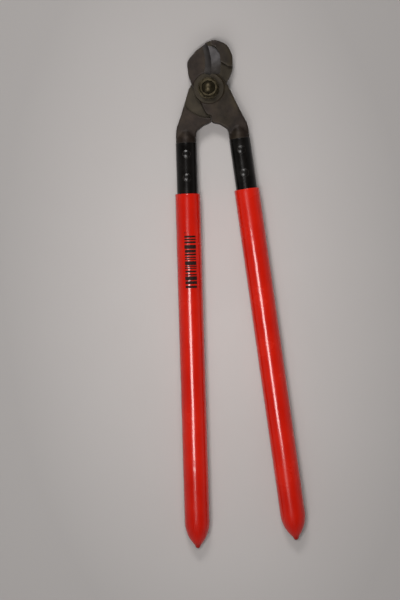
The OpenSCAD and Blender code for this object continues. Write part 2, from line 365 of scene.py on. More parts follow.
def forge(obj, passes):
    """Melts overlapping blocks into one blank and rounds its edges."""
    melt = obj.modifiers.new("melt", "REMESH")
    melt.mode = "VOXEL"
    melt.voxel_size = FORGE_VOXEL
    soften = obj.modifiers.new("soften", "SMOOTH")
    soften.factor = 0.5
    soften.iterations = passes
    settle(obj)


def bevelled(obj, width, segments, angle):
    """Rounds the edges of a cut piece that are sharper than an angle in degrees."""
    step = obj.modifiers.new("edge", "BEVEL")
    step.width = width
    step.segments = segments
    step.limit_method = "ANGLE"
    step.angle_limit = math.radians(angle)
    settle(obj)


def drop_slivers(mesh):
    """Closes up the needle-thin faces that cutting leaves."""
    bm = bmesh.new()
    bm.from_mesh(mesh)
    bmesh.ops.dissolve_degenerate(bm, dist=0.0005, edges=bm.edges)
    bm.to_mesh(mesh)
    bm.free()


def crease_borders(mesh):
    """Keeps the shading of a machined face apart from the forging around it."""
    finishes = {}
    for face in mesh.polygons:
        for key in face.edge_keys:
            finishes.setdefault(key, set()).add(face.material_index)
    for edge in mesh.edges:
        if len(finishes.get(edge.key, ())) > 1:
            edge.use_edge_sharp = True


def finish(obj, name, body, materials, nodes=(), matrix=None, sharp=40):
    """Turns a worked piece into metres, names it and hangs it on its body."""
    drop_slivers(obj.data)
    if matrix is not None:
        obj.data.transform(matrix)
        if matrix.determinant() < 0:
            obj.data.flip_normals()
    obj.data.transform(Matrix.Scale(MM, 4))
    obj.name = name
    obj.data.name = name
    chosen = [face.material_index for face in obj.data.polygons]
    obj.data.materials.clear()
    for material in materials:
        obj.data.materials.append(material)
    obj.data.polygons.foreach_set("material_index", chosen)
    obj.data.shade_smooth()
    obj.data.set_sharp_from_angle(angle=math.radians(sharp))
    if len(materials) > 1:
        crease_borders(obj.data)
    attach(obj, body)
    if nodes:
        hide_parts(*nodes)
    return obj


def handle_matrix(side):
    """Puts z = 0 at the front edge of a grip, with z along the handle and y up."""
    along = Vector((side * HANDLE_AXIS.x, HANDLE_AXIS.y, 0))
    up = Vector((0, 0, 1))
    across = up.cross(along)
    turn = Matrix((across, up, along)).transposed().to_4x4()
    return Matrix.Translation((side * GRIP_START.x, GRIP_START.y, GRIP_START.z)) @ turn


# ---- materials ----
class Shader:
    """A small wrapper for building a node tree."""

    def __init__(self, name):
        self.material = bpy.data.materials.new(name)
        self.material.use_nodes = True
        self.tree = self.material.node_tree
        self.surface = self.tree.nodes["Principled BSDF"]
        self.coords = self.add("ShaderNodeTexCoord").outputs["Object"]

    def add(self, kind, **inputs):
        """A new node with some of its inputs set or linked."""
        node = self.tree.nodes.new(kind)
        for key, value in inputs.items():
            self.put(node.inputs[key.replace("_", " ")], value)
        return node

    def put(self, socket, value):
        """Links a socket, or sets its value."""
        if isinstance(value, bpy.types.NodeSocket):
            self.tree.links.new(value, socket)
        else:
            socket.default_value = value

    def placed(self, scale=(1, 1, 1), offset=(0, 0, 0)):
        """Object coordinates, scaled and then moved."""
        node = self.add("ShaderNodeMapping", Vector=self.coords, Location=offset, Scale=scale)
        return node.outputs["Vector"]

    def height(self):
        """The Y coordinate, along the tool."""
        return self.add("ShaderNodeSeparateXYZ", Vector=self.coords).outputs["Y"]

    def reach(self, scale, offset=(0, 0, 0)):
        """Distance from the origin of scaled and moved coordinates."""
        node = self.tree.nodes.new("ShaderNodeVectorMath")
        node.operation = "LENGTH"
        self.put(node.inputs[0], self.placed(scale, offset))
        return node.outputs["Value"]

    def noise(self, scale, detail, roughness, stretch=(1, 1, 1), offset=(0, 0, 0)):
        """Noise in object space; stretch scales its axes."""
        place = self.placed(stretch, offset)
        node = self.add("ShaderNodeTexNoise", Vector=place, Scale=scale, Detail=detail, Roughness=roughness)
        return node.outputs["Fac"]

    def turned(self, scale):
        """Fine rings about the pivot, as a lathe leaves them."""
        ring = self.add("ShaderNodeCombineXYZ", X=self.reach((1, 1, 0)))
        node = self.add("ShaderNodeTexNoise", Vector=ring.outputs["Vector"], Scale=scale, Detail=3.0)
        return node.outputs["Fac"]

    def plus(self, first, second):
        """Adds two values."""
        node = self.tree.nodes.new("ShaderNodeMath")
        self.put(node.inputs[0], first)
        self.put(node.inputs[1], second)
        return node.outputs["Value"]

    def ramp(self, fac, stops):
        """A colour ramp through (position, colour) stops."""
        node = self.add("ShaderNodeValToRGB", Fac=fac)
        elements = node.color_ramp.elements
        while len(elements) < len(stops):
            elements.new(0.5)
        for element, (position, colour) in zip(elements, stops):
            element.position = position
            element.color = (*colour, 1.0)
        return node.outputs["Color"]

    def spread(self, fac, low, high, from_low=0.3, from_high=0.7):
        """Maps a value from one pair of limits to another."""
        node = self.add("ShaderNodeMapRange", Value=fac)
        node.inputs["From Min"].default_value = from_low
        node.inputs["From Max"].default_value = from_high
        node.inputs["To Min"].default_value = low
        node.inputs["To Max"].default_value = high
        return node.outputs["Result"]

    def blend(self, fac, first, second):
        """Mixes two colours."""
        node = self.tree.nodes.new("ShaderNodeMix")
        node.data_type = "RGBA"
        self.put(node.inputs[0], fac)
        for socket, value in ((node.inputs[6], first), (node.inputs[7], second)):
            self.put(socket, value if isinstance(value, bpy.types.NodeSocket) else (*value, 1.0))
        return node.outputs[2]

    def worn(self, low, high):
        """1 on the outer edges of a finely meshed piece and 0 elsewhere."""
        node = self.add("ShaderNodeNewGeometry")
        return self.spread(node.outputs["Pointiness"], 0.0, 1.0, low, high)

    def rubbed(self, width, low=0.01, high=0.12):
        """1 along the sharp edges of a turned or cut piece, within width in metres."""
        soft = self.add("ShaderNodeBevel", Radius=width)
        plain = self.add("ShaderNodeNewGeometry")
        match = self.tree.nodes.new("ShaderNodeVectorMath")
        match.operation = "DOT_PRODUCT"
        self.put(match.inputs[0], soft.outputs["Normal"])
        self.put(match.inputs[1], plain.outputs["Normal"])
        return self.spread(match.outputs["Value"], 1.0, 0.0, 1 - high, 1 - low)

    def bump(self, *layers):
        """Stacks height layers of (height, depth in metres)."""
        normal = None
        for height, depth in layers:
            node = self.add("ShaderNodeBump", Height=height)
            node.inputs["Distance"].default_value = depth
            if normal is not None:
                self.put(node.inputs["Normal"], normal)
            normal = node.outputs["Normal"]
        self.put(self.surface.inputs["Normal"], normal)

    def set(self, **values):
        """Fills in the surface shader and returns the material."""
        for key, value in values.items():
            if isinstance(value, tuple) and len(value) == 3:
                value = (*value, 1.0)
            self.put(self.surface.inputs[key.replace("_", " ")], value)
        return self.material


def forged_steel():
    """Dark brown oxide over a grainy forging, rubbed brighter on its edges."""
    s = Shader("forged_oxide")
    mottle = s.noise(60, 5, 0.6)
    patches = s.noise(18, 3, 0.5, offset=(0.3, 0.1, 0))
    brown = s.ramp(mottle, [
        (0.3, (0.010, 0.0068, 0.0052)), (0.5, (0.020, 0.0138, 0.0102)), (0.72, (0.038, 0.0275, 0.0198)),
    ])
    olive = s.ramp(mottle, [(0.3, (0.018, 0.014, 0.006)), (0.7, (0.050, 0.040, 0.016))])
    tinted = s.blend(s.spread(patches, 0.0, 0.7, 0.45, 0.7), brown, olive)
    colour = s.blend(s.worn(0.515, 0.60), tinted, (0.105, 0.092, 0.078))
    grain = s.noise(900, 3, 0.6)
    dents = s.noise(140, 2, 0.5)
    s.bump((grain, 0.00012), (dents, 0.00035))
    rough = s.spread(mottle, 0.36, 0.56)
    return s.set(Base_Color=colour, Metallic=0.2, Roughness=rough, Specular_IOR_Level=0.16)


def ground_steel(name, colour, rough, stretch=None, darker_below=False):
    """Machined steel: fine scratches across stretch, or rings about the pivot without it."""
    s = Shader(name)
    lines = s.noise(1400, 2, 0.6, stretch=stretch) if stretch else s.turned(1500)
    film = s.noise(70, 5, 0.6)
    light = tuple(min(1.0, c * 1.35) for c in colour)
    dark = tuple(c * 0.62 for c in colour)
    tone = s.ramp(film, [(0.3, dark), (0.52, colour), (0.75, light)])
    shade = s.blend(s.rubbed(0.0004), tone, tuple(min(1.0, c * 1.4) for c in colour))
    # Below a ragged line across the blade, about 24 to 36 mm above the pivot, the colour turns a darker brown.
    if darker_below:
        ragged = s.plus(s.height(), s.spread(film, -0.004, 0.004))
        shade = s.blend(s.spread(ragged, 0.85, 0.0, 0.024, 0.036), shade, (0.016, 0.013, 0.010))
    s.bump((lines, 0.00005))
    return s.set(Base_Color=shade, Metallic=0.9, Roughness=s.spread(lines, rough - 0.07, rough + 0.13))


def tube_paint():
    """Black gloss paint with a faint orange peel and a few dull rubs."""
    s = Shader("tube_paint")
    peel = s.noise(420, 2, 0.5)
    rubs = s.noise(55, 5, 0.65)
    paint = s.ramp(rubs, [(0.35, (0.0026, 0.0022, 0.0020)), (0.7, (0.0075, 0.0066, 0.0058))])
    colour = s.blend(s.rubbed(0.0007, 0.02, 0.2), paint, (0.075, 0.068, 0.062))
    s.bump((peel, 0.00006))
    return s.set(Base_Color=colour, Roughness=s.spread(rubs, 0.15, 0.30), Specular_IOR_Level=0.2)


def zinc_hardware():
    """Olive zinc passivation on turned steel."""
    s = Shader("olive_zinc")
    film = s.noise(150, 4, 0.6)
    colour = s.ramp(film, [
        (0.3, (0.019, 0.0145, 0.0075)), (0.52, (0.034, 0.027, 0.014)), (0.72, (0.062, 0.051, 0.029)),
    ])
    worn = s.blend(s.rubbed(0.0004), colour, (0.17, 0.15, 0.10))
    s.bump((s.noise(1100, 2, 0.5), 0.00003), (s.turned(1300), 0.00004))
    return s.set(Base_Color=worn, Metallic=0.85, Roughness=s.spread(film, 0.30, 0.48))


def bronze():
    """Oily bearing bronze."""
    s = Shader("bush_bronze")
    film = s.noise(200, 3, 0.5)
    colour = s.ramp(film, [(0.3, (0.25, 0.13, 0.05)), (0.7, (0.42, 0.24, 0.10))])
    s.bump((s.noise(900, 2, 0.5, stretch=(1, 1, 8)), 0.00003))
    return s.set(Base_Color=colour, Metallic=0.9, Roughness=s.spread(film, 0.25, 0.4))


def black_screw():
    """Black oxide on a small screw."""
    s = Shader("screw_black")
    film = s.noise(350, 3, 0.5)
    s.bump((s.noise(1500, 2, 0.5), 0.00003))
    colour = s.ramp(film, [(0.3, (0.012, 0.012, 0.013)), (0.7, (0.03, 0.03, 0.032))])
    return s.set(Base_Color=colour, Metallic=0.6, Roughness=s.spread(film, 0.32, 0.5))


def plug_plastic():
    """Moulded black plastic."""
    s = Shader("plug_plastic")
    grain = s.noise(800, 2, 0.5)
    s.bump((grain, 0.00005))
    colour = s.ramp(grain, [(0.3, (0.012, 0.012, 0.012)), (0.7, (0.02, 0.02, 0.02))])
    return s.set(Base_Color=colour, Roughness=s.spread(grain, 0.5, 0.65))


def grip_vinyl():
    """Glossy red vinyl from a dip: slow waves, fine peel, a little dust, and painted shade that darkens the lower
    ends and the nibs.
    """
    s = Shader("grip_vinyl")
    cloud = s.noise(22, 4, 0.5)
    specks = s.noise(900, 1, 0.4)
    red = s.ramp(cloud, [
        (0.3, (0.48, 0.0055, 0.0007)), (0.5, (0.54, 0.0080, 0.0012)), (0.7, (0.60, 0.0115, 0.0022)),
    ])
    place = s.height()
    # Painted shade: the lower end of the grip darkens towards its tip, and the nib is darker still, where the nose
    # turns away from the light.
    drip = s.spread(place, 0.75, 0.0, -0.5435, -0.5365)
    painted_end_shade = s.blend(s.spread(place, 0.24, 0.0, -0.525, -0.43), red, (0.22, 0.003, 0.0006))
    dipped = s.blend(drip, painted_end_shade, (0.10, 0.004, 0.002))
    # The dust specks go over the red that already carries the painted shade.
    dust_and_painted_shade = s.blend(s.spread(specks, 0.0, 0.07, 0.68, 0.76), dipped, (0.62, 0.30, 0.25))
    waves = s.noise(30, 2, 0.4, stretch=(1, 0.25, 1))
    peel = s.noise(300, 2, 0.5)
    s.bump((waves, 0.0006), (peel, 0.00006))
    return s.set(
        Base_Color=dust_and_painted_shade,
        Roughness=s.spread(cloud, 0.19, 0.29),
        Specular_IOR_Level=0.25,
        Coat_Weight=0.4,
        Coat_Roughness=0.06,
    )


def print_ink():
    """Matt black ink with thin spots."""
    s = Shader("print_ink")
    thin = s.noise(500, 3, 0.6)
    s.bump((thin, 0.00003))
    colour = s.ramp(thin, [(0.35, (0.007, 0.005, 0.004)), (0.68, (0.028, 0.010, 0.008))])
    return s.set(Base_Color=colour, Roughness=s.spread(thin, 0.45, 0.65), Specular_IOR_Level=0.12)


def bench_top():
    """Pale grey laminate with a very faint cloud, and painted shade that darkens it away from the tool in place of
    the lamps' falloff.
    """
    s = Shader("bench_top")
    cloud = s.noise(6, 4, 0.5)
    fibre = s.noise(240, 3, 0.5, stretch=(1, 0.15, 1))
    base = s.ramp(cloud, [(0.3, (0.520, 0.494, 0.482)), (0.7, (0.548, 0.525, 0.514))])
    fleck = s.blend(s.spread(fibre, 0.0, 0.10), base, (0.50, 0.47, 0.455))
    # Painted shade: the bench darkens with distance from the tool, standing in for the falloff of the light.
    away = s.spread(s.reach((4.0, 2.2, 0), (0.07, 0.56, 0)), 0.0, 1.0, 0.12, 1.0)
    colour = s.blend(away, fleck, (0.37, 0.357, 0.350))
    s.bump((fibre, 0.00003))
    return s.set(Base_Color=colour, Roughness=0.62, Specular_IOR_Level=0.3)


FORGED = forged_steel()
GROUND_FACE = ground_steel("ground_face", (0.031, 0.026, 0.0185), 0.42)
GROUND_BEVEL = ground_steel("ground_bevel", (0.16, 0.148, 0.142), 0.38, (0.1, 1, 1))
BLADE_STEEL = ground_steel("blade_steel", (0.066, 0.063, 0.064), 0.42, (0.08, 1, 1), darker_below=True)
PAINT = tube_paint()
ZINC = zinc_hardware()
BRONZE = bronze()
SCREW = black_screw()
PLUG = plug_plastic()
VINYL = grip_vinyl()
INK = print_ink()


# ---- levers ----
def edge_centre(x):
    """Centre of a cutting edge's circle."""
    return Vector((x + EDGE_BULGE - EDGE_R, EDGE_MID_Y))


def own_handle():
    """The right handle's frame with z = 0 in the shear plane."""
    return Matrix.Translation((0, 0, -SHEAR_Z)) @ handle_matrix(1)


def shoulder():
    """The round end of a lever, from which the tang leaves."""
    at = TUBE_START
    profile = [
        (0, at - 19), (JAW_T - 0.6, at - 17), (SHOULDER_R - 0.4, at - 6.5), (SHOULDER_R, at - 4),
        (SHOULDER_R, at + 3), (0, at + 3),
    ]
    return lathe(profile, HANDLE_STEPS, own_handle())


def lever_blank(corners, extra=()):
    """The forging: plate, full-thickness root, boss and shoulder, melted together and rounded.

    The recess is opened between the two passes, so that its lip is rounded as well.
    """
    root = root_corners() + [(20, -10, 0), (STOP_GAP / 2, -10, 0)]
    blocks = [
        prism(rounded(corners), -2, JAW_T),
        prism(rounded(root), -JAW_T, JAW_T),
        cylinder(BOSS_R + 1.2, -2, JAW_T + BOSS_H + 1),
        shoulder(),
        *extra,
    ]
    blank = solid(joined(*blocks))
    forge(blank, 2)
    cut(blank, cylinder(RECESS_R - 0.5, -20, -0.4, RECESS_STEPS))
    forge(blank, 10)
    raise_flash(blank.data)
    return blank


def raise_flash(mesh):
    """The low line round a forging's side where its two dies met."""
    moves = []
    for vertex in mesh.vertices:
        height = (vertex.co.z - JAW_T / 2) / FLASH_HALF
        if abs(vertex.normal.z) < 0.4 and abs(height) < 2:
            side = Vector((vertex.normal.x, vertex.normal.y, 0)).normalized()
            moves.append((vertex, side * FLASH_RISE * math.exp(-height * height)))
    for vertex, move in moves:
        vertex.co += move


def edge_cutter(x, side, depth):
    """The wedge that grinds a bevel: side is 1 inside the edge's circle and -1 outside it."""
    inner = EDGE_R - side * BEVEL_W
    outer = EDGE_R + side * 1.0
    outer_z = EDGE_LAND - (depth - EDGE_LAND) / BEVEL_W
    section = [(outer, outer_z), (inner, depth), (inner, depth + 3), (outer, depth + 3)]
    lower = -math.asin(EDGE_HALF_CHORD / EDGE_R) - math.radians(1.5)
    sweep = -2 * lower + math.radians(5)
    centre = edge_centre(x)
    steps = 48
    bm = bmesh.new()
    rows = []
    for i in range(steps + 1):
        angle = lower + sweep * i / steps
        across = math.cos(angle)
        along = math.sin(angle)
        rows.append([bm.verts.new((centre.x + r * across, centre.y + r * along, z)) for r, z in section])
    for first, second in zip(rows, rows[1:]):
        for i in range(4):
            j = (i + 1) % 4
            bm.faces.new((first[i], first[j], second[j], second[i]))
    bm.faces.new(rows[0])
    bm.faces.new(rows[-1])
    return bm


def machine_lever(blank, under):
    """The cuts that both levers share; under is the block of air below the jaw."""
    cut(blank, cylinder(RECESS_R, -20, SHEAR_GAP / 2, RECESS_STEPS))
    cut(blank, cylinder(BOSS_R + 3, JAW_T + BOSS_H, 30))
    cut(blank, cylinder(30, TUBE_START - PRESS_GAP, TUBE_START + 30, HANDLE_STEPS, own_handle()))
    cut(blank, under)
    cut(blank, prism([(-6, -60), (STOP_GAP / 2, -60), (STOP_GAP / 2, -31), (-6, -31)], -30, 30))


def add_tang(blank):
    """The round tang inside the tube."""
    radius = BORE_R - PRESS_GAP
    start = TUBE_START - 5
    end = TUBE_START + TANG_L
    profile = [(0, start), (radius, start), (radius, end - 1.5), (BORE_R - 1.5, end), (0, end)]
    combine(blank, lathe(profile, HANDLE_STEPS, own_handle()), "UNION")


def neck_outline(play):
    """The keyed neck of the bolt, a circle with two flats, grown by play."""
    points = arc((0, 0), BUSH_R + play, 0, 360, 96)[:-1]
    for p in points:
        p.y = max(-BOLT_R - play, min(BOLT_R + play, p.y))
    return points


def finish_lever(blank, rule, name, body, node, place):
    """Gives each face the finish that rule(centre, normal) returns, then finishes the lever."""
    for face in blank.data.polygons:
        face.material_index = rule(face.center, face.normal)
    finish(blank, name, body, (FORGED, GROUND_FACE, GROUND_BEVEL), (node,), place)


def common_rule(centre, normal):
    """0 forged, 1 ground flat."""
    from_pivot = Vector((centre.x, centre.y)).length
    shear_face = abs(centre.z - SHEAR_GAP / 2) < 0.003 and normal.z < -0.9999
    boss_face = abs(centre.z - JAW_T - BOSS_H) < 0.003 and normal.z > 0.9999
    recess_wall = abs(from_pivot - RECESS_R) < 0.3 and centre.z < 0 and abs(normal.z) < 0.3
    stop_face = abs(centre.x - STOP_GAP / 2) < 0.05 and normal.x < -0.9
    bore = from_pivot < BUSH_R + 0.3
    return int(shear_face or boss_face or recess_wall or stop_face or bore)


def front_rule(centre, normal):
    """0 forged, 1 ground flat, 2 ground bevel."""
    radius = (Vector((centre.x, centre.y)) - edge_centre(FRONT_EDGE_X)).length
    ramp_z = EDGE_LAND + (EDGE_R - radius) * (JAW_T - EDGE_LAND) / BEVEL_W
    sloping = 0.4 < normal.z < 0.85
    bevel = sloping and centre.y > THROAT_Y - 6 and abs(centre.z - ramp_z) < 0.1
    land = centre.y > THROAT_Y and abs(radius - EDGE_R) < 0.3 and centre.z < EDGE_LAND + 0.3
    if bevel or land:
        return 2
    return common_rule(centre, normal)


def front_jaw():
    """The upper lever, with the bevelled cutting edge."""
    blank = lever_blank(front_corners())
    machine_lever(blank, prism([(-60, -2), (60, -2), (60, 70), (-60, 70)], -20, SHEAR_GAP / 2))
    low = math.degrees(math.asin((THROAT_Y - EDGE_MID_Y) / EDGE_R))
    edge = arc(edge_centre(FRONT_EDGE_X), EDGE_R, low, 26, 64)
    beyond = [Vector((30, THROAT_Y)), Vector((30, edge[-1].y))]
    cut(blank, prism(edge[::-1] + beyond, -5, 15))
    cut(blank, edge_cutter(FRONT_EDGE_X, 1, JAW_T))
    add_tang(blank)
    cut(blank, cylinder(BUSH_R + PRESS_GAP, -5, 15))
    place = Matrix.Translation((0, 0, SHEAR_Z))
    finish_lever(blank, front_rule, "front_jaw_forging", "right_lever", "front_jaw", place)


def back_rule(centre, normal):
    """0 forged, 1 ground flat: the pocket's floor and walls as well as the shared faces."""
    if -17.4 < centre.x < 1.5 and 15 < centre.y < 53 and 0.2 < centre.z < BLADE_T + 0.1:
        return 1
    return common_rule(centre, normal)


def spine_wall():
    """The inner wall of the raised hook, seen from above, from its heel up to the beak."""
    radius = RECESS_R - 2
    start = math.degrees(math.asin(HEEL_Y / radius))
    end = math.degrees(math.acos(HOOK_X / radius))
    turns = [(HOOK_X, 29, 0), (HOOK_X, 41.5, 10), (11.8, 50, 7), (BEAK_X, 51.6, 2), (BEAK_X, 70, 0)]
    wall = []
    for before, point, after in zip(turns, turns[1:], turns[2:]):
        wall += corner(before, point, after)
    return [Vector((60, HEEL_Y))] + arc((0, 0), radius, start, end, 12) + wall + [Vector((BEAK_X, 70))]


def raised_hook():
    """The part of the back jaw that stands up past the shear plane."""
    spine = rounded([
        (-BEAK_X, 70, 0), (-40, 70, 0), (-40, HEEL_Y, 0), (-16, HEEL_Y, 0), (-16, 41.5, 8), (-11, 49, 7),
        (-6, 52, 0),
    ])
    shape = solid(prism(rounded(back_corners()), -SPINE_H, JAW_T), "hook")
    combine(shape, prism(spine, -SPINE_H - 5, JAW_T + 5), "INTERSECT")
    return taken(shape)


def back_jaw():
    """The lower lever, with the raised hook and the pocket for the shear blade."""
    blank = lever_blank(back_corners(), (raised_hook(),))
    trough = [Vector((-60, -2)), Vector((60, -2))] + spine_wall() + [Vector((-60, 70))]
    machine_lever(blank, prism(flipped(trough)[::-1], -20, SHEAR_GAP / 2))
    pocket = flipped(offset_outline(blade_outline(), POCKET_GAP))[::-1]
    cut(blank, prism(pocket, -20, BLADE_T))
    add_tang(blank)
    cut(blank, prism(neck_outline(PRESS_GAP), -5, 20))
    screw_r = SCREW_R + 0.1
    hole = [
        (0, -2), (screw_r, -2), (screw_r, JAW_T - 1.8), (SCREW_HEAD_R, JAW_T), (SCREW_HEAD_R, 12), (0, 12),
    ]
    for x, y in SCREW_SPOTS:
        cut(blank, lathe(hole, HOLE_STEPS, Matrix.Translation((-x, y, 0))))
    place = Matrix.Translation((0, 0, SHEAR_Z)) @ Matrix.Rotation(math.pi, 4, "Y")
    finish_lever(blank, back_rule, "back_jaw_forging", "left_lever", "back_jaw", place)


def shear_blade():
    """The ground blade in its pocket, with a hollow edge and a bevel underneath."""
    top = SHEAR_Z - SHEAR_GAP / 2
    blade = solid(prism(blade_outline(), SHEAR_Z - BLADE_T, top))
    hollow = arc(edge_centre(BACK_EDGE_X), EDGE_R, -40, 40, 96) + [Vector((-40, EDGE_MID_Y))]
    cut(blade, prism(hollow, 0, 30))
    wedge = edge_cutter(BACK_EDGE_X, -1, BLADE_T)
    wedge.transform(Matrix.Translation((0, 0, SHEAR_Z)) @ Matrix.Scale(-1, 4, (0, 0, 1)))
    cut(blade, wedge)
    for x, y in SCREW_SPOTS:
        place = Matrix.Translation((x, y, 0))
        cut(blade, cylinder(SCREW_R + PRESS_GAP, -2, SHEAR_Z - 1.2, HOLE_STEPS, place))
    bevelled(blade, 0.15, 1, 50)
    finish(blade, "shear_blade_ground", "left_lever", (BLADE_STEEL,), ("shear_blade",),
           sharp=25)


# ---- pivot ----
def blade_screws():
    """Countersunk screws with a hexagon socket, seen from the back of the tool."""
    low = SHEAR_Z - JAW_T + 0.1
    high = low + JAW_T - 1.5
    profile = turning_profile([
        (0, low, 0), (SCREW_HEAD_R - 0.1, low, 0.15), (SCREW_R, low + 1.7, 0.3), (SCREW_R, high, 0.3),
        (0, high, 0),
    ])
    places = [Matrix.Translation((x, y, 0)) for x, y in SCREW_SPOTS]
    pair = solid(joined(*[lathe(profile, HOLE_STEPS, place) for place in places]))
    for place in places:
        cut(pair, cylinder(SCREW_SOCKET_R, low - 2, low + 1.1, 6, place))
    finish(pair, "blade_screw_pair", "left_lever", (SCREW,), ("blade_screws",))


def pivot_bolt():
    """Flat round head, keyed neck, shank with a groove at the nut's face, and a domed end."""
    low, high = z_range("pivot_bolt")
    back_face = SHEAR_Z - JAW_T - BOSS_H
    nut_top = z_range("pivot_nut")[1]
    groove_r = BOLT_R - 0.25
    head = turning_profile([
        (0, low, 0), (BOLT_HEAD_R, low, 1.0), (BOLT_HEAD_R, back_face, 0.4), (0, back_face, 0),
    ])
    profile = head[:-1] + [
        (BOLT_R, back_face), (BOLT_R, nut_top - 1.2), (groove_r, nut_top - 0.9), (groove_r, nut_top - 0.5),
        (BOLT_R, nut_top - 0.2),
    ]
    bolt = solid(lathe(profile + dome(BOLT_R, nut_top, high, 12)))
    combine(bolt, prism(neck_outline(0.0), back_face - 1, SHEAR_Z - SHEAR_GAP / 2), "UNION")
    finish(bolt, "pivot_bolt_turned", "left_lever", (ZINC,), ("pivot_bolt",))


def pivot_rings():
    """The bush and the washer."""
    low, high = z_range("pivot_bush")
    inner = BOLT_R + BUSH_GAP
    bush = turning_profile([(inner, low, 0.3), (BUSH_R, low, 0.3), (BUSH_R, high, 0.3), (inner, high, 0.3)])
    finish(solid(lathe(bush)), "pivot_bush_turned", "right_lever", (BRONZE,), ("pivot_bush",))
    low, high = z_range("pivot_washer")
    ring = turning_profile([
        (WASHER_BORE_R, low, 0.15), (WASHER_R, low, 0.15), (WASHER_R, high, 0.5), (WASHER_BORE_R, high, 0.3),
    ])
    finish(solid(lathe(ring)), "pivot_washer_stamped", "left_lever", (ZINC,),
           ("pivot_washer",))


def pivot_nut():
    """A hexagon nut, chamfered on both sides, with a countersunk bore."""
    low, high = z_range("pivot_nut")
    corner_r = NUT_ACROSS / 2 / math.cos(math.radians(30))
    nut = solid(prism(arc((0, 0), corner_r, 0, 300, 5), low, high))
    drop = 1.3
    slope = 2.2
    cone = lathe([
        (0, low), (corner_r - slope, low), (corner_r, low + drop), (corner_r, high - drop),
        (corner_r - slope, high), (0, high),
    ], 128)
    combine(nut, cone, "INTERSECT")
    bore_r = BOLT_R + PRESS_GAP
    sink_r = BOLT_R + 1.1
    cut(nut, lathe([
        (0, low - 2), (bore_r, low - 2), (bore_r, high - 1.1), (sink_r, high), (sink_r, high + 2),
        (0, high + 2),
    ]))
    bevelled(nut, 0.18, 2, 28)
    finish(nut, "pivot_nut_hex", "left_lever", (ZINC,), ("pivot_nut",), sharp=30)


# ---- handles ----
BODY = {1: "right_lever", -1: "left_lever"}
WORD = {1: "right", -1: "left"}


def rivet_places():
    """Frames of the two rivets, each with its z across the tube."""
    across = Matrix.Rotation(math.pi / 2, 4, "X")
    heights = [TUBE_START + RIVET_INSET + i * RIVET_PITCH for i in range(2)]
    return [Matrix.Translation((0, 0, height)) @ across for height in heights]


def tube(side):
    """A painted tube with rounded ends and its rivet holes."""
    start = TUBE_START
    end = GRIP_L - 2
    profile = turning_profile([
        (BORE_R, start, 0.4), (TUBE_R, start, 0.9), (TUBE_R, end, 0.3), (BORE_R, end, 0.3),
    ])
    wall = []
    for (r0, z0), (r1, z1) in zip(profile, profile[1:] + profile[:1]):
        count = max(1, int(abs(z1 - z0) / 12))
        wall += [(r0 + (r1 - r0) * i / count, z0 + (z1 - z0) * i / count) for i in range(count)]
    body = solid(lathe(wall))
    for place in rivet_places():
        cut(body, cylinder(RIVET_R + PRESS_GAP, -20, 20, HOLE_STEPS, place))
    finish(body, WORD[side] + "_tube_painted", BODY[side], (PAINT,), (WORD[side] + "_tube",),
           handle_matrix(side))


def rivet_head():
    """A domed head that sits astride the tube."""
    radius = 1.6 * RIVET_R
    base = TUBE_R - 1.5
    cap = dome(radius, TUBE_R + 0.35 * RIVET_HEAD_H, TUBE_R + RIVET_HEAD_H, 8)
    head = solid(lathe([(0, base), (radius, base)] + cap, 64))
    across = Matrix.Rotation(math.pi / 2, 4, "X")
    cut(head, cylinder(TUBE_R + PRESS_GAP, -12, 12, 128, across))
    return head


def rivet(place):
    """A pin with a head at each end."""
    reach = TUBE_R + 0.4
    pin = solid(cylinder(RIVET_R, -reach, reach, 64))
    for turn in (0, math.pi):
        head = rivet_head()
        head.data.transform(Matrix.Rotation(turn, 4, "X"))
        combine(pin, taken(head), "UNION")
    pin.data.transform(place)
    return taken(pin)


def rivets(side):
    """The two rivets that hold a tang in its tube."""
    whole = solid(joined(*[rivet(place) for place in rivet_places()]))
    finish(whole, WORD[side] + "_rivets_domed", BODY[side], (PAINT,), (WORD[side] + "_rivets",),
           handle_matrix(side))


def bullet(radius, length, steps):
    """Points of the bullet end past the straight part, without its first and its last point."""
    bow = (length ** 2 + (radius - NIB_R) ** 2) / (2 * (radius - NIB_R))
    along = [length * i / steps for i in range(1, steps)]
    return [(radius - bow + math.sqrt(bow ** 2 - a ** 2), GRIP_L + a) for a in along]


def grip_outside(tip):
    """The sleeve's outer profile: rolled lip, straight part, bullet end, and the last drip as a nib."""
    straight = 1.6
    count = int(GRIP_L / 4)
    points = [(GRIP_R - 0.35, 0.12), (GRIP_R - 0.05, 0.7), (GRIP_R, straight)]
    points += [(GRIP_R, straight + (GRIP_L - straight) * i / count) for i in range(1, count + 1)]
    points += bullet(GRIP_R, NOSE_L, 24)
    nib_r = NIB_R + 0.5
    points += [(nib_r + 0.45, tip - 0.5), (nib_r, tip + 0.2)]
    points += [(p.x * nib_r, tip + 0.2 + p.y * (NIB_L - 0.2)) for p in arc((0, 0), 1, 0, 90, 8)[1:]]
    return points


def grip_inside(inner, tip):
    """The sleeve's inner profile, from its closed end to the lip."""
    skin = 2.4
    points = [(0, tip - skin), (NIB_R, tip - skin)]
    points += bullet(inner, NOSE_L - skin, 10)[::-1]
    return points + [(inner, GRIP_L), (inner, GRIP_L / 2), (inner, 0.5), (inner + 0.35, 0.1)]


def sink_waves(bm, seed, inner, end):
    """Sinks slow and fine waves into the outside of a sleeve, as a dip leaves them."""
    for v in bm.verts:
        if v.co.xy.length > inner + 0.6 and v.co.z < end:
            slow = noise.noise(Vector((v.co.x, v.co.y, v.co.z * 0.45)) * 0.055 + seed)
            fine = noise.noise(v.co * 0.16 + seed)
            push = 1 - 0.012 * max(0.0, slow) - 0.004 * max(0.0, fine)
            v.co.x *= push
            v.co.y *= push


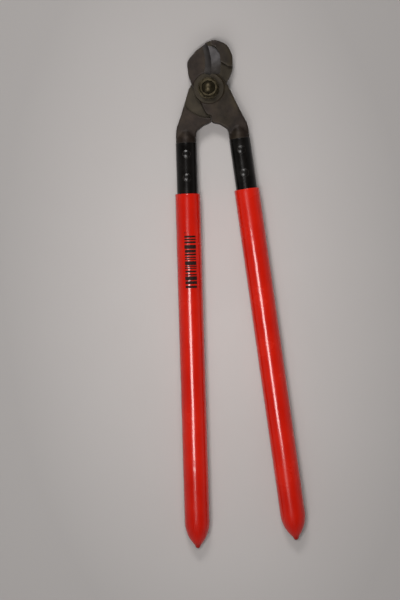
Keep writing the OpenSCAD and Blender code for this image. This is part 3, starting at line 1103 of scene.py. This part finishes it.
def grip(side):
    """A dipped sleeve with a bullet end."""
    inner = TUBE_R + SLEEVE_GAP
    tip = GRIP_L + NOSE_L
    sleeve = joined(lathe(grip_outside(tip)), lathe(grip_inside(inner, tip)))
    bmesh.ops.bridge_loops(sleeve, edges=[e for e in sleeve.edges if e.is_boundary])
    sink_waves(sleeve, Vector((31.7 * side, 4.1, 0)), inner, tip - 2)
    finish(solid(sleeve), WORD[side] + "_grip_dipped", BODY[side], (VINYL,),
           (WORD[side] + "_grip",), handle_matrix(side), sharp=50)


def grip_print():
    """Generic printed bars across the left grip, which stand for nothing, and a dot above them."""
    draw = random.Random(12)
    lean = math.radians(-5)
    half_width = 7.0
    parts = []
    at = 50.0
    end = 112.0
    while at < end:
        thick = draw.choice((1.2, 1.6, 2.2, 2.2, 3.4, 4.6))
        ragged = draw.uniform(-0.25, 0.25)
        parts.append(ink_patch(at, min(end, at + thick), half_width + ragged, lean))
        at += thick + draw.choice((0.9, 1.1, 1.5, 2.0))
    parts.append(ink_patch(45.6, 46.9, 0.8, lean + math.radians(23)))
    bars = solid(joined(*parts))
    finish(bars, "left_grip_print", "left_lever", (INK,), (), handle_matrix(-1))


def ink_patch(start, end, half_width, lean):
    """One patch of ink that follows the grip's curve."""
    radius = GRIP_R + 0.02
    thick = 0.05
    columns = 14
    bm = bmesh.new()
    grid = {}
    for level in range(2):
        r = radius + level * thick
        for i in range(columns + 1):
            angle = math.pi / 2 + lean + half_width / radius * (1 - 2 * i / columns)
            for j, z in enumerate((start, end)):
                grid[level, i, j] = bm.verts.new((r * math.cos(angle), r * math.sin(angle), z))
    for i in range(columns):
        for level in range(2):
            bm.faces.new((grid[level, i, 0], grid[level, i + 1, 0], grid[level, i + 1, 1], grid[level, i, 1]))
        for j in range(2):
            bm.faces.new((grid[0, i, j], grid[0, i + 1, j], grid[1, i + 1, j], grid[1, i, j]))
    for i in (0, columns):
        bm.faces.new((grid[0, i, 0], grid[0, i, 1], grid[1, i, 1], grid[1, i, 0]))
    return bm


# ---- stage ----
def stage():
    """The bench, the camera, the lamps and the room."""
    bench = solid(prism([(-3000, -3000), (3000, -3000), (3000, 3000), (-3000, 3000)], -20, -0.05), "bench")
    bench.data.transform(Matrix.Scale(MM, 4))
    bench.data.materials.append(bench_top())

    tilt = math.radians(4.87)
    right = Vector((math.cos(tilt), -math.sin(tilt), 0))
    up = Vector((math.sin(tilt), math.cos(tilt), 0))
    middle = right * -0.0101 + up * -0.2513 + Vector((0, 0, 0.015))
    look_down(middle, tilt)
    lamps(middle, right, up, tilt)

    world = bpy.data.worlds.new("world")
    bpy.context.scene.world = world
    world.use_nodes = True
    light_room(world.node_tree)
    bpy.context.scene.view_settings.view_transform = "Standard"


def look_down(middle, tilt):
    """A camera straight above the middle of the picture, turned by tilt."""
    view_height = 0.7146
    distance = 2.2
    camera = bpy.data.objects.new("camera", bpy.data.cameras.new("camera"))
    bpy.context.scene.collection.objects.link(camera)
    camera.data.sensor_width = 36.0
    camera.data.lens = 36.0 * distance / view_height
    camera.data.clip_end = 20.0
    camera.location = middle + Vector((0, 0, distance))
    camera.rotation_euler = (0, 0, -tilt)
    bpy.context.scene.camera = camera


def lamps(middle, right, up, tilt):
    """A key from the far end, two lamps that only light, and a panel seen only as a highlight."""
    area_light("key", middle + right * -0.15 + up * 0.85 + Vector((0, 0, 1.05)), middle, 0.36, 0.36, 7.0)
    at = middle + right * -0.11 + up * -0.80 + Vector((0, 0, 1.1))
    low = area_light("low", at, middle, 1.0, 0.8, 4.9)
    low.visible_glossy = False
    at = middle + right * -0.08 + up * -0.04 + Vector((0, 0, 1.15))
    strip = area_light("strip", at, middle, 0.028, 0.52, 5.6)
    strip.visible_glossy = False
    at = middle + right * -0.21 + up * -0.12 + Vector((0, 0, 1.15))
    panel = area_light("panel", at, middle, 0.34, 0.37, 7.5)
    panel.rotation_euler = (0, 0, -tilt)
    panel.visible_diffuse = False


def light_room(tree):
    """A room that is dim overhead and lighter round the walls."""
    coords = tree.nodes.new("ShaderNodeTexCoord")
    split = tree.nodes.new("ShaderNodeSeparateXYZ")
    ramp = tree.nodes.new("ShaderNodeValToRGB")
    tree.links.new(coords.outputs["Generated"], split.inputs["Vector"])
    tree.links.new(split.outputs["Z"], ramp.inputs["Fac"])
    tree.links.new(ramp.outputs["Color"], tree.nodes["Background"].inputs["Color"])
    ramp.color_ramp.elements[0].position = 0.1
    ramp.color_ramp.elements[0].color = (0.34, 0.335, 0.33, 1.0)
    ramp.color_ramp.elements[1].position = 0.75
    ramp.color_ramp.elements[1].color = (0.06, 0.058, 0.056, 1.0)


def area_light(name, at, target, width, height, energy):
    """A warm rectangular light that faces a target and is out of the camera's sight."""
    lamp = bpy.data.lights.new(name, "AREA")
    lamp.shape = "RECTANGLE"
    lamp.size = width
    lamp.size_y = height
    lamp.energy = energy
    lamp.color = (1.0, 0.975, 0.965)
    obj = bpy.data.objects.new(name, lamp)
    bpy.context.scene.collection.objects.link(obj)
    obj.location = at
    obj.rotation_euler = (target - at).to_track_quat("-Z", "Y").to_euler()
    obj.visible_camera = False
    return obj


stage()
front_jaw()
back_jaw()
shear_blade()
blade_screws()
pivot_bolt()
pivot_rings()
pivot_nut()
for side in (1, -1):
    tube(side)
    rivets(side)
    grip(side)
    plug = frame["nodes"][WORD[side] + "_end_plug"]
    plug.data.materials.clear()
    plug.data.materials.append(PLUG)
grip_print()
